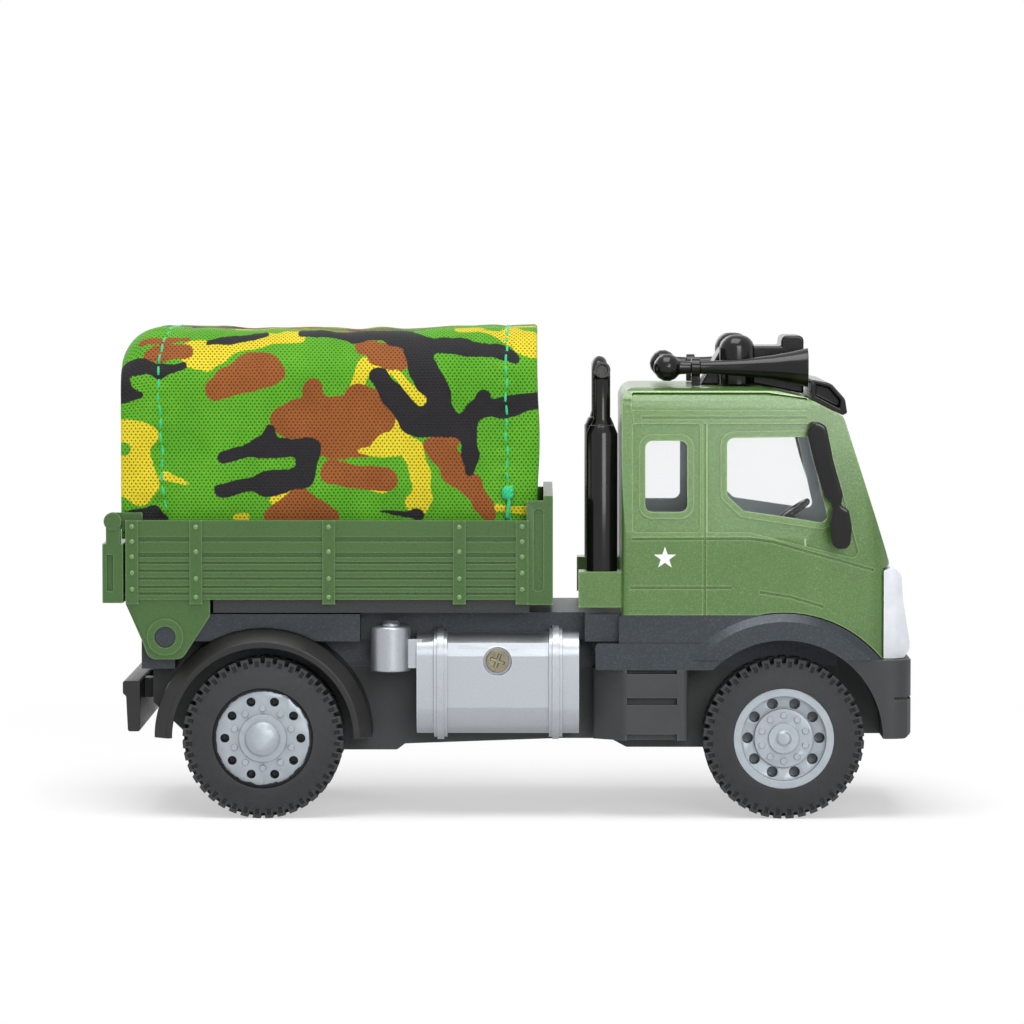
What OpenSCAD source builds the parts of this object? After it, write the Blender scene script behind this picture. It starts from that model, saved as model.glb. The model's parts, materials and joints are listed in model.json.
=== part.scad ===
/* [Wheels] */
// Distance between the two axles
wheelbase = 93.2; // [91.5:0.1:94.5]
// Rear axle, measured back from the middle of the truck
rear_axle_back = 44.2; // [43.6:0.1:45]
// Tyre radius out to the tips of the lugs
tyre_r = 14.4; // [14:0.1:14.8]
// Width of a tyre
tyre_w = 9.5; // [8.5:0.1:10]
// Outer faces of the tyres, across the truck
track_w = 55; // [53.5:0.1:55.6]
// Lugs round each shoulder of a tyre
lug_count = 40; // [24:1:42]
// Height of a lug
lug_h = 0.9; // [0.6:0.1:1.2]
// Width of a lug along the tread
lug_w = 1.45; // [1:0.05:1.6]
// Radius of the rim where the tyre sits on it
rim_r = 9; // [8.8:0.1:9.6]
// Diameter of the steel axles
axle_d = 2; // [1.6:0.1:2.4]
// Running clearance round axles and hinge pins
run_gap = 0.05; // [0.02:0.01:0.1]
// Gap left between pieces that sit side by side
seat_gap = 0.1; // [0.05:0.01:0.2]

/* [Chassis] */
// Width of the upper frame
frame_w = 49; // [46:0.5:50]
// Height of the upper frame's top face
frame_top = 36.5; // [36:0.1:37.2]
// Thickness of the upper frame's deck
deck_t = 4.9; // [4:0.1:5.4]
// Height of the joint between the upper frame and the base
split_z = 26.7; // [26:0.1:27.4]
// Rear end of the upper frame, from the middle of the truck
frame_rear = 66; // [65.4:0.1:67]
// Room between the tyres and the spine of the chassis
wheel_room = 1.5; // [1.2:0.1:2.5]
// Radius of the rear fenders at the outer lip
rear_fender_r = 17.3; // [17:0.1:17.8]
// Thickness of a rear fender
rear_fender_t = 1.1; // [0.8:0.1:1.4]
// Radius of the front wheel arch
arch_r = 17.7; // [17.2:0.1:18.2]
// Outer radius of the flare round the front arch
flare_r = 22.4; // [21.6:0.1:22.6]
// Width over the front fenders
fender_w = 55.6; // [55:0.1:56.4]
// Length of a side tank
tank_len = 29.1; // [27:0.1:30]
// Height of a side tank
tank_h = 18.2; // [16:0.1:19]
// Width over both side tanks
tank_span = 55.6; // [54:0.1:57]

/* [Bed] */
// Length of the bed's sides
bed_len = 72.1; // [71:0.1:73]
// Front end of the bed's sides, from the middle of the truck
bed_front_x = 3.5; // [3:0.1:4]
// Width over the bed's sides
bed_w = 56; // [55.5:0.1:57]
// Thickness of the bed's sides and floor
bed_wall = 1.6; // [1.2:0.1:1.7]
// Height of the underside of the bed's floor
bed_bottom = 39.3; // [39:0.1:39.8]
// Height of the top of the bed's sides
bed_top = 53.5; // [52.5:0.1:54.5]
// Hinge pins of the bed, measured back from the middle of the truck
hinge_back = 61.55; // [61:0.05:62]
// Height of the bed's hinge pins
hinge_z = 32.6; // [32.2:0.1:33]
// Radius of the bed's hinge pins
hinge_r = 1.85; // [1.4:0.05:2.2]
// Height of the tailgate's hinge
gate_hinge_z = 53.3; // [53:0.1:53.6]
// Thickness of the tailgate
gate_t = 3.7; // [3.2:0.1:4.2]

/* [Canopy] */
// Height of the top of the canopy
canopy_top = 87.9; // [84:0.1:92]
// Width of the canopy
canopy_w = 50.4; // [48:0.1:50.6]
// How far the canopy reaches past the front of the bed's sides
canopy_over = 1.2; // [0.6:0.1:1.6]
// Radius of the canopy's rear top edge
hood_r = 7; // [6:0.1:8]
// Radius of the canopy's shoulders
canopy_r = 10; // [8:0.5:12]
// Thickness of the doubled cloth
cloth_t = 0.8; // [0.5:0.1:1]
// Diameter of the wire hoops
hoop_d = 1.6; // [1.2:0.1:2]

/* [Cab] */
// Rear wall of the cab, from the middle of the truck
cab_rear_x = 20; // [19.6:0.1:21]
// Width of the cab below the belt line
cab_w = 54; // [53:0.1:54.6]
// Width of the cab at the roof
roof_w = 50; // [48:0.1:52]
// Height of the roof
roof_z = 77.1; // [76.5:0.1:77.8]
// Height of the belt line
belt_z = 50.3; // [49.5:0.1:51]
// Front of the cab's nose
nose_x = 66.8; // [66.4:0.1:67]
// Thickness of the cab's walls
cab_wall = 1.6; // [1.2:0.1:1.9]
// Thickness of the window glazing
glass_t = 0.8; // [0.6:0.1:1.2]
// Diameter of an exhaust stack's silencer
stack_d = 5.6; // [5:0.1:6.2]
// Diameter of an exhaust stack's upper pipe
pipe_d = 2.95; // [2.4:0.05:3.4]
// Mouth diameter of a horn
horn_d = 7.1; // [6:0.1:7.4]
// Diameter of a beacon
beacon_d = 6.4; // [5:0.1:7]

/* [Hidden] */
$fn = 64;

// Paints and plastics
cab_green = "#5f8246";
bed_green = "#446e3a";
metal_grey = "#323a42";
base_grey = "#3e4040";
black = "#1c1a1a";
silver = "#dadce2";
rim_grey = "#afb6bc";
tyre_grey = "#3a3c3e";

// Places worked out from the driving sizes
rear_axle_x = -rear_axle_back;
front_axle_x = rear_axle_x + wheelbase;
axle_z = sqrt(tyre_r * tyre_r - lug_w * lug_w / 4);
tyre_out = track_w / 2;
tyre_in = tyre_out - tyre_w;
spine_y = tyre_in - wheel_room;
deck_z = frame_top - deck_t;
fender_y = fender_w / 2;
frame_y = frame_w / 2;
bed_rear_x = bed_front_x - bed_len;
bed_y = bed_w / 2;
bed_floor = bed_bottom + bed_wall;
hinge_x = -hinge_back;
chassis_front = front_axle_x + 10;

// Outlines: each corner is [across, up, radius], listed anticlockwise
function unit(v) = v / norm(v);
function flat(p) = [p.x, p.y];
function turn(a) = a > 180 ? a - 360 : a < -180 ? a + 360 : a;
function on_circle(r, a) = r * [cos(a), sin(a)];
function arc(a, p, b, r, n) =
  let (u = unit(a - p), v = unit(b - p), half = acos(u * v) / 2)
  let (c = p + unit(u + v) * r / sin(half), s = p + u * r / tan(half) - c, e = p + v * r / tan(half) - c)
  let (a0 = atan2(s.y, s.x), sweep = turn(atan2(e.y, e.x) - a0))
  [for (i = [0:n]) c + on_circle(r, a0 + sweep * i / n)];
function near(pts, i) = pts[(i + len(pts)) % len(pts)];
function rounded(pts, n = 5) = [for (i = [0:len(pts) - 1]) each pts[i].z > 0
  ? arc(flat(near(pts, i - 1)), flat(pts[i]), flat(near(pts, i + 1)), pts[i].z, n) : [flat(pts[i])]];
function left_of(a, b) = let (d = unit(b - a)) [-d.y, d.x];
function inset(pts, d) = [for (i = [0:len(pts) - 1])
  let (p = flat(pts[i]), m = left_of(flat(near(pts, i - 1)), p), n = left_of(p, flat(near(pts, i + 1))))
  let (q = p + (m + n) * d / (1 + m * n)) [q.x, q.y, max(pts[i].z - d, 0)]];
function mirrored(half) = concat(half, [for (i = [len(half) - 1:-1:0]) [-half[i].x, half[i].y, half[i].z]]);

// Solids from outlines: side views run across Y, front views along X, plans up Z
module side_view(pts, y0, y1) translate([0, y1, 0]) rotate([90, 0, 0]) linear_extrude(y1 - y0)
  polygon(rounded(pts));
module front_view(pts, x0, x1) translate([x0, 0, 0]) rotate([90, 0, 90]) linear_extrude(x1 - x0)
  polygon(rounded(pts));
module plan_view(pts, z0, z1) translate([0, 0, z0]) linear_extrude(z1 - z0) polygon(rounded(pts));
module block(x0, x1, y0, y1, z0, z1) translate([x0, y0, z0]) cube([x1 - x0, y1 - y0, z1 - z0]);
module rod_y(x, z, r, y0, y1) translate([x, y1, z]) rotate([90, 0, 0]) cylinder(r = r, h = y1 - y0);
module on_side(side) if (side > 0) children(); else mirror([0, 1, 0]) children();
module both_sides() for (side = [-1, 1]) on_side(side) children();
// A revolve about an axle, its profile in [radius, distance out from the middle]
module about_axle(x) translate([x, 0, axle_z]) rotate([-90, 0, 0]) children();
module turned(profile) rotate_extrude($fn = 96) polygon(profile);

// Base: the moulded underside with the gear cases, axle bearings and steps
base_rear_x = -64.5;
skirt_rear_x = 14.9;
skirt_front_x = front_axle_x - arch_r + 0.6;
step_z = [14.6, 21.1, 26.6];
module base_plate() color(base_grey) difference() {
  union() {
    side_view([[base_rear_x, 20, 0], [rear_axle_x - 14, 14, 2], [rear_axle_x - 8, 11.4, 2],
      [-20.4, 11.4, 1], [-19, 12.5, 1], [9, 13.5, 1], [18, 13.5, 1], [front_axle_x - 28, 11.9, 1],
      [front_axle_x + 7, 11.9, 1], [chassis_front, 16, 1], [chassis_front, split_z, 0],
      [base_rear_x, split_z, 0]], -spine_y, spine_y);
    both_sides() plan_view([[skirt_rear_x, spine_y - 1, 0], [skirt_front_x, spine_y - 1, 0],
      [skirt_front_x, fender_y, 1], [skirt_rear_x + 5.6, fender_y, 2], [skirt_rear_x, fender_y - 4, 1]],
      14.1, split_z);
  }
  both_sides() for (z = step_z) block(skirt_rear_x + 6, skirt_front_x - 2, fender_y - 1.6, fender_y + 1,
    z - 0.6, z + 0.6);
  for (x = [rear_axle_x, front_axle_x]) rod_y(x, axle_z, axle_d / 2 + run_gap, -spine_y - 1, spine_y + 1);
}

// Upper frame: the deck under the bed, its spine and the bed's hinge pins
crown_r = rear_fender_r + 2.2;
tank_bay = 5;
ear_in = frame_y + 0.5;
ear_t = 2.6;
module frame_deck() color(metal_grey) {
  difference() {
    union() {
      block(-frame_rear, skirt_rear_x, -frame_y, frame_y, deck_z, frame_top);
      block(-frame_rear, -frame_rear + 6, -frame_y, frame_y, split_z, deck_z);
      block(base_rear_x, skirt_rear_x, -spine_y, spine_y, split_z, deck_z + 0.1);
      block(-frame_rear - 1, -frame_rear + 1, -9, 9, 28, 31.5);
    }
    both_sides() rod_y(rear_axle_x, axle_z, crown_r + seat_gap, spine_y, frame_y + 1);
    both_sides() block(can_x - 5.5, tank_front_x + 1, frame_y - tank_bay, frame_y + 1, split_z - 1,
      frame_top + 1);
  }
  both_sides() rod_y(hinge_x, hinge_z, hinge_r, frame_y - 1, ear_in + ear_t);
}

// Front fender: the deck under the cab, a recessed panel over a band, an arch and a flare on each side
band_top = deck_z - 0.2;
panel_y = fender_y - 0.7;
flare_y = fender_y + 0.5;
module front_fender() color(metal_grey) difference() {
  union() {
    block(skirt_rear_x, chassis_front - 2, -frame_y, frame_y, deck_z, frame_top);
    block(skirt_rear_x, chassis_front, -spine_y, spine_y, split_z, deck_z + 0.1);
    both_sides() {
      side_view([[skirt_rear_x + 0.4, split_z, 0.6], [front_axle_x, split_z, 0], [front_axle_x, band_top, 0],
        [skirt_rear_x + 0.4, band_top, 0.6]], frame_y - 0.5, fender_y);
      side_view([[skirt_rear_x + 4.6, split_z + 1, 0], [front_axle_x, split_z + 1, 0], [front_axle_x,
        frame_top, 0],
        [skirt_rear_x + 4.6, frame_top, 0.6]], frame_y - 0.5, panel_y);
      intersection() {
        about_axle(front_axle_x) turned([[arch_r - 1, frame_y - 0.5], [flare_r, frame_y - 0.5], [flare_r,
          panel_y],
          [flare_r - 1.4, flare_y], [arch_r - 1, flare_y]]);
        block(front_axle_x - flare_r, front_axle_x + flare_r, 0, flare_y + 1, bumper_top,
          axle_z + flare_r + 1);
      }
    }
  }
  both_sides() rod_y(front_axle_x, axle_z, arch_r, spine_y, flare_y + 1);
}

// Front bumper
bumper_top = 28.5;
bumper_x = 72.7;
module bumper_plan(d, z0, z1) plan_view(inset([[chassis_front, -fender_y, 0], [bumper_x - 1, -fender_y, 4],
  [bumper_x, 0, 0], [bumper_x - 1, fender_y, 4], [chassis_front, fender_y, 0]], d), z0, z1);
module front_bumper() color(base_grey) difference() {
  intersection() {
    bumper_plan(0, 10, bumper_top + 5);
    side_view([[chassis_front, 14.4, 0], [bumper_x - 2, 14.4, 0.8], [bumper_x, 16, 1],
      [bumper_x, bumper_top - 1, 1], [bumper_x - 1, bumper_top, 0.4], [chassis_front, bumper_top, 0]],
      -fender_y - 1, fender_y + 1);
  }
  both_sides() rod_y(front_axle_x, axle_z, arch_r, spine_y, fender_y + 2);
  difference() {
    block(bumper_x - 4.1, bumper_x + 1, -fender_y - 1, fender_y + 1, 21.4, 21.9);
    bumper_plan(0.6, 21, 22.4);
  }
  block(bumper_x - 1.8, bumper_x + 1, -15, 15, 16.7, 20.1);
}

// Rear bumper bar on two arms
bar_x = base_rear_x - 1.9;
bar_half = fender_y - 4.3;
module rear_bumper() color(black) {
  side_view([[bar_x - 2.2, 15.3, 0.4], [bar_x, 15.3, 0.4], [bar_x, 24.4, 0.4], [bar_x - 3.1, 24.4, 0.4],
    [bar_x - 3.1, 22.2, 0.4], [bar_x - 2.5, 21.6, 0]], -bar_half, bar_half);
  both_sides() block(bar_x - 0.1, base_rear_x - seat_gap, 7, 12, 20.5, 24);
}

// Rear fender: a half ring over a rear tyre, its crown higher than its outer lip
module rear_fender(side) color(black) on_side(side) about_axle(rear_axle_x) rotate([0, 0, 180])
  rotate_extrude(angle = 180, $fn = 96) polygon([[rear_fender_r, tyre_out], [crown_r, tyre_out - 2.2],
    [crown_r, spine_y + seat_gap], [crown_r - rear_fender_t, spine_y + seat_gap],
    [crown_r - rear_fender_t, tyre_out - 2.7], [rear_fender_r - rear_fender_t, tyre_out - 0.5],
    [rear_fender_r - rear_fender_t, tyre_out]]);
module rear_fender_left() rear_fender(1);
module rear_fender_right() rear_fender(-1);

// Side tank with two straps, a screw recess and a filter canister behind it
tank_front_x = 12.4;
tank_rear_x = tank_front_x - tank_len;
tank_top = deck_z + 1.5;
tank_y = tank_span / 2;
tank_in = frame_y - tank_bay + seat_gap;
strap_h = 1.1;
strap_w = 2.4;
screw_x = tank_front_x - 14.6;
screw_z = tank_top - 4.9;
screw_r = 2.05;
screw_depth = 1.4;
can_r = 3.55;
can_x = tank_rear_x - 4.65;
can_z = [26.3, 34.4];
can_y = tank_y - can_r;
function tank_section(d) = inset([[tank_in - strap_h, tank_top - tank_h, 3], [tank_y - strap_h,
  tank_top - tank_h, 5],
  [tank_y - strap_h, tank_top, 4], [tank_in - strap_h, tank_top, 2]], d);
module tank(side) color(silver) on_side(side) difference() {
  union() {
    intersection() {
      union() {
        front_view(tank_section(0), tank_rear_x, tank_front_x);
        for (x = [tank_rear_x + 3.1, tank_front_x - 5.4]) {
          front_view(tank_section(-strap_h * 0.6), x, x + strap_w);
          front_view(tank_section(-strap_h), x + strap_w / 4, x + strap_w * 3 / 4);
        }
      }
      block(tank_rear_x - 1, tank_front_x + 1, tank_in, tank_y + 1, 0, roof_z);
    }
    translate([can_x, can_y, can_z[0]]) rotate_extrude() polygon(rounded([[0, 0, 0], [can_r, 0, 0.3],
      [can_r, can_z[1] - can_z[0], 0.5], [0, can_z[1] - can_z[0], 0]]));
    translate([can_x, can_y, can_z[1] - 0.2]) rotate_extrude() polygon([[0, 0], [1.7, 0], [1.7, 0.5], [1.2,
      1], [0, 1.1]]);
    block(can_x, tank_rear_x + 1, can_y - 1.6, can_y + 1.6, can_z[0] + 0.6, tank_top - 1);
  }
  rod_y(screw_x, screw_z, screw_r + 0.5, tank_y - strap_h - screw_depth, tank_y + 1);
  block(can_x - 2, can_x + 2, can_y - 0.3, can_y + 0.3, can_z[1] + 0.5, can_z[1] + 2);
}
module tank_left() tank(1);
module tank_right() tank(-1);
module tank_screws() color("#c9c2a4") both_sides() difference() {
  rod_y(screw_x, screw_z, screw_r, tank_y - strap_h - screw_depth, tank_y - strap_h - 0.4);
  for (a = [0, 90]) translate([screw_x, tank_y - strap_h - 0.4, screw_z]) rotate([0, a + 20, 0])
    cube([2.6, 1, 0.55], center = true);
}

// Cab: one casting, the overlap of its side, front and plan outlines
cab_front_x = nose_x + 1.3;
screen_top_x = cab_front_x - 8.5;
nose_top = 45.4;
roof_front = [nose_x - 13.8, roof_z - 1.8];
function cab_side(drop) = [[cab_rear_x, frame_top - drop, 0], [front_axle_x, frame_top - drop, 0],
  [front_axle_x, bumper_top - drop, 0], [nose_x, bumper_top - drop, 0], [nose_x, nose_top - 0.7, 0],
  [cab_front_x, nose_top, 0.3], [screen_top_x, roof_z - 5.1, 1.5], [roof_front.x, roof_front.y, 4],
  [roof_front.x - 8, roof_z, 4], [cab_rear_x, roof_z, 2.5]];
function cab_face(drop) = mirrored([[cab_w / 2, bumper_top - drop - 1, 0], [cab_w / 2, belt_z, 0],
  [roof_w / 2, roof_z, 3.5]]);
cab_plan = [[cab_rear_x, -cab_w / 2, 1.2], [nose_x - 14, -cab_w / 2, 8], [cab_front_x, 1.5 - cab_w / 2, 4.5],
  [cab_front_x, cab_w / 2 - 1.5, 4.5], [nose_x - 14, cab_w / 2, 8], [cab_rear_x, cab_w / 2, 1.2]];
module cab_volume(d, drop) intersection() {
  side_view(inset(cab_side(drop), d), -cab_w, cab_w);
  front_view(inset(cab_face(drop), d), cab_rear_x - 1, cab_front_x + 1);
  plan_view(inset(cab_plan, d), 0, roof_z + 5);
}
door_x = cab_rear_x + 14.8;
sleeper_window = [[24.2, 54.9, 1.3], [31.7, 54.9, 1.3], [31.7, 67.6, 1.3], [24.2, 67.6, 1.3]];
door_window = [[38.8, 57.9, 0.8], [41.8, 55.1, 0.8], [56.9, 52.9, 1], [53.4, 68.3, 1.3], [38.8, 68.1, 1.3]];
// Recessed panels round the windows and under the roof, and the lines of the belt, gutter and sill
panels = [
  [[22, 51.3, 0.6], [33.9, 51.3, 0.6], [33.9, 70.6, 0.4], [22, 70.6, 0.4]],
  [[35.3, 51.3, 0.5], [42.8, 51.3, 0], [62.6, 46.4, 1], [56, 70.6, 1], [35.3, 70.6, 0.4]],
  [[21.8, 73.1, 0.3], [53.1, 73.1, 0.3], [53.1, 75.2, 0.3], [46, 76.2, 0], [21.8, 76.2, 0.3]]];
creases = [
  [[21.8, 50.1], [42.8, 50.2], [47, 49.6], [65, 44.5]],
  [[23.5, 71.7], [53, 71.7]],
  [[21.4, 41.4], [39.6, 41.4]],
  [[44.6, 40.6], [50, 39.8], [56, 38]]];
frame_rib = 1.2;
panel_d = 0.35;
line_w = 0.5;
function ribbon(path) = concat([for (p = path) [p.x, p.y - line_w / 2, 0]],
  [for (i = [len(path) - 1:-1:0]) [path[i].x, path[i].y + line_w / 2, 0]]);
windows = [sleeper_window, door_window];
module cab_marks() difference() {
  both_sides() {
    difference() {
      for (outline = panels) side_view(outline, roof_w / 4, cab_w);
      for (window = windows) side_view(inset(window, -frame_rib), 0, cab_w + 1);
    }
    for (path = creases) side_view(ribbon(path), roof_w / 4, cab_w);
    block(door_x - line_w / 2, door_x + line_w / 2, roof_w / 4, cab_w, frame_top - 1, 70.6);
  }
  cab_volume(panel_d, 10);
}
windscreen = mirrored([[21.5, belt_z + 1.5, 2.5], [20, roof_z - 8, 2.5]]);
foot_y = cab_w / 2 - 4.5;
foot_top = 44.2;
module cab_shell() color(cab_green) difference() {
  union() {
    cab_volume(0, 0);
    both_sides() block(cab_rear_x - 7.7, cab_rear_x + 0.5, foot_y - 3.2, foot_y + 3.2, 37.8, foot_top);
  }
  cab_volume(cab_wall, 10);
  for (window = windows) side_view(window, -cab_w, cab_w);
  front_view(windscreen, nose_x - 10, cab_front_x + 2);
  both_sides() rod_y(front_axle_x, axle_z, flare_r + 2 * seat_gap, 0, cab_w);
  cab_marks();
}
module glazing() color("#c8dde0", 0.4) difference() {
  intersection() {
    cab_volume(cab_wall + seat_gap, 10);
    block(cab_rear_x + cab_wall + 1.5, cab_front_x, -cab_w, cab_w, belt_z - 1, roof_z - 5);
  }
  cab_volume(cab_wall + seat_gap + glass_t, 10);
}

// Cab inside: floor, two seats and the dash
cabin_y = cab_w / 2 - cab_wall - seat_gap;
floor_t = 1.5;
floor_z = max(frame_top, axle_z + flare_r + 2 * seat_gap) + seat_gap;
dash_x = nose_x - 8.5;
dash_top = floor_z + 14.6;
seat_z = floor_z + 9;
seat_top = floor_z + 23;
seat_gap_y = 4;
wheel_y = cabin_y / 2 - 1.5;
module cab_interior() color("#5a5f64") {
  block(cab_rear_x + cab_wall + seat_gap, front_axle_x + 5.5, -cabin_y, cabin_y, floor_z, floor_z + floor_t);
  both_sides() side_view([[door_x + 1, floor_z + 0.5, 0], [door_x + 12, floor_z + 0.5, 0], [door_x + 12.5,
    seat_z, 1.5],
    [door_x + 4, seat_z - 1, 1], [door_x + 2, seat_top, 1], [door_x - 1, seat_top, 1]], seat_gap_y,
      cabin_y - seat_gap_y);
  side_view([[front_axle_x + 2.5, floor_z + 0.5, 0], [front_axle_x + 5.5, floor_z + 0.5, 0], [dash_x,
    dash_top - 7.5, 0], [dash_x, dash_top - 1.5, 2],
    [front_axle_x + 5, dash_top, 1.5], [front_axle_x + 4, dash_top - 5.5, 1]], 4 - cabin_y, cabin_y - 4);
}
module steering_wheel() color(black) translate([front_axle_x + 2.6, wheel_y, dash_top + 1]) rotate([0, -35,
  0]) {
  rotate_extrude() translate([4, 0]) circle(r = 0.6, $fn = 24);
  cylinder(r = 1.2, h = 1, center = true);
  for (a = [0:120:240]) rotate([0, 0, a]) translate([0.8, -0.5, -0.3]) cube([3, 1, 0.6]);
  translate([0, 0, -2.9]) cylinder(r = 0.7, h = 2.7);
}

// Front moulding with the lamps and the grille
lens_x = nose_x + seat_gap;
grille_half = cab_w / 2 - 15;
grille_z = bumper_top + 4.5;
slot_pitch = 2.2;
module front_lens() color("#d7dae1") difference() {
  intersection() {
    side_view([[lens_x, bumper_top + seat_gap, 0], [nose_x + 3.8, bumper_top + seat_gap, 0.6], [nose_x + 5,
      30.1, 0.6],
      [nose_x + 5, 31.3, 0.6], [nose_x + 3.6, 39.3, 2], [nose_x + 3.4, 43.4, 1.5], [nose_x + 1.7,
        nose_top - 0.3, 0.6],
      [lens_x, nose_top - 1.1, 0]], -cab_w, cab_w);
    plan_view([[lens_x - 1, 2 - cab_w / 2, 0], [nose_x + 2, 2 - cab_w / 2, 2], [nose_x + 5.5,
      5 - cab_w / 2, 5],
      [nose_x + 5.5, cab_w / 2 - 5, 5], [nose_x + 2, cab_w / 2 - 2, 2], [lens_x - 1, cab_w / 2 - 2, 0]],
        20, 50);
  }
  for (i = [0:4]) block(nose_x + 2.6, nose_x + 7, -grille_half, grille_half, grille_z + i * slot_pitch,
    grille_z + (i + 0.5) * slot_pitch);
}

// Roof gear: visor, box, beacons and horns
visor_x = roof_front.x + 1;
visor_top = roof_z + 1.4;
visor_y = roof_w / 2 - 2;
visor = [[visor_x, roof_front.y - 0.42, 0], [screen_top_x, roof_z - 5.03, 0], [screen_top_x + 0.8,
  roof_z - 4.6, 0.3],
  [screen_top_x + 0.4, roof_z - 2.1, 1.5], [visor_x + 3.5, visor_top - 0.7, 2], [visor_x, visor_top, 0.4]];
module sun_visor() color(black) difference() {
  side_view(visor, -visor_y, visor_y);
  both_sides() side_view([[visor_x + 0.8, visor_top - 2.9, 0], [visor_x + 5, visor_top - 5.1, 0],
    [visor_x + 5.2, visor_top - 3.8, 0], [visor_x + 3.2, visor_top - 1.5, 0], [visor_x + 0.8,
      visor_top - 0.9, 0]],
    visor_y - 3, visor_y + 1);
}
box_front = roof_front.x + 0.3;
box_top = roof_z + 9;
plate_top = box_top - 1.9;
beacon_y = roof_w / 2 - 13;
box_half = beacon_y - beacon_d / 2 - 0.8;
module roof_box() color(black) side_view([[box_front - 18.8, roof_z + seat_gap, 0], [roof_front.x - 8,
  roof_z + seat_gap, 0],
  [box_front, roof_front.y + 0.2, 0], [box_front, box_top, 1], [box_front - 4.1, box_top, 1],
    [box_front - 4.1, plate_top, 0],
  [box_front - 14.8, plate_top, 1.5]], -box_half, box_half);
beacon_x = box_front - 12.3;
beacon_h = 9.1;
module beacons() color(black) for (side = [-1, 1]) translate([beacon_x, side * beacon_y, roof_z + seat_gap])
  rotate_extrude() polygon(rounded([[0, 0, 0], [beacon_d / 2, 0, 0.3], [beacon_d / 2, beacon_h, 2.6], [0,
    beacon_h, 0]], 6));
horn_y = roof_w / 2 - 8;
horn_z = roof_z + 3.4;
horn_front = box_front + 0.3;
horn_rear = horn_front - 25.3;
horn_clamp = horn_rear + 4.3;
module horn(side) color(black) on_side(side) {
  translate([horn_rear, horn_y, horn_z]) rotate([0, 90, 0]) rotate_extrude() polygon(concat(
    [for (i = [0:6]) on_circle(2.5, -90 + i * 25)], [[1.15, 4], [1.2, 8], [1.6, 14], [2.2, 19], [2.9, 22.6],
    [horn_d / 2, horn_front - horn_rear], [horn_d / 2 - 0.6, horn_front - horn_rear],
    [1.4, 23.4], [0, 22.6]]));
  block(horn_clamp, horn_clamp + 1.6, horn_y - 0.8, horn_y + 0.8, roof_z + seat_gap, horn_z - 0.6);
  translate([horn_clamp, horn_y, horn_z]) rotate([0, 90, 0]) cylinder(r = 1.7, h = 1.6);
}
module horn_left() horn(1);
module horn_right() horn(-1);

// Mirror: two lobes on one arm, held at the roof and at the belt line
mirror_y = cab_w / 2 + 1.6;
mirror_t = 2;
mirror_pins = [[54.1, 70.3], [59.4, 49.9]];
module mirror_arm(side) color(black) on_side(side) {
  side_view([[52.7, 69.4, 1.4], [54.3, 63, 6], [55.9, 58, 1.2], [57.6, 56.3, 0.5], [56.9, 53, 2], [57.4,
    48.6, 1.5],
    [60.6, 48.4, 1.5], [60.9, 52.5, 2], [60.3, 55.6, 0.8], [58.9, 56.3, 0.5], [59.3, 58.2, 1.2], [57.6, 64,
      6],
    [56.3, 70.4, 1.4], [54.2, 71.6, 1.2]], mirror_y, mirror_y + mirror_t);
  for (pin = mirror_pins) rod_y(pin.x, pin.y, 0.9, cab_half_at(pin) + seat_gap, mirror_y + 0.5);
}
function cab_half_at(pin) = pin.y > belt_z
  ? cab_w / 2 - (cab_w - roof_w) / 2 * (pin.y - belt_z) / (roof_z - belt_z)
  : cab_w / 2 - 1.5 * (pin.x - nose_x + 14) / (cab_front_x - nose_x + 14);
module mirror_left() mirror_arm(1);
module mirror_right() mirror_arm(-1);

// Exhaust stack: silencer on a foot of the cab, then a pipe with its mouth turned out
stack_x = cab_rear_x - 3.5;
pipe_top = 81.7;
pipe_bend = 2.2;
pipe_turn = 80;
elbow_z = pipe_top - foot_top - (pipe_bend + pipe_d / 2) * sin(pipe_turn);
module along_elbow(a) translate([0, pipe_bend, elbow_z]) rotate([90, 0, -90]) rotate([0, 0, a])
  translate([pipe_bend, 0, 0]) rotate([-90, 0, 0]) children();
module stack(side) color(black) on_side(side) translate([stack_x, foot_y, foot_top]) difference() {
  union() {
    rotate_extrude() polygon([[0, 0], [stack_d / 2, 0], [stack_d / 2, 24.6], [stack_d / 2 - 0.6, 26],
      [pipe_d / 2 + 0.4, 26.2], [pipe_d / 2, 27.4], [pipe_d / 2, elbow_z], [0, elbow_z]]);
    translate([0, pipe_bend, elbow_z]) rotate([90, 0, -90]) rotate_extrude(angle = pipe_turn)
      translate([pipe_bend, 0]) circle(d = pipe_d, $fn = 32);
  }
  along_elbow(pipe_turn) translate([0, 0, -0.6]) cylinder(d = pipe_d - 1, h = 2);
}
module stack_left() stack(1);
module stack_right() stack(-1);

// Wheels: axle, rims and lugged tyres
module axle(x) color("silver") rod_y(x, axle_z, axle_d / 2, -rim_hub, rim_hub);
rim_hub = tyre_out - 3;
rim_back = tyre_in + 0.4;
function rim_bore() = axle_d / 2 + 0.02;
module rim(x, side, profile, holes, bolts) color(rim_grey) on_side(side) about_axle(x) {
  difference() {
    turned(concat([[0, rim_hub + 0.02], [rim_bore(), rim_hub + 0.02], [rim_bore(), rim_back], [rim_r,
      rim_back]], profile));
    for (i = [0:9]) rotate([0, 0, i * 36]) translate([holes[0], 0, tyre_out - 5]) cylinder(r = holes[1],
      h = 5);
  }
  for (i = [0:9]) rotate([0, 0, i * 36 + 18]) translate([bolts[0], 0, tyre_out - 2]) cylinder(r = bolts[1],
    h = bolts[2], $fn = 16);
}
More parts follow.
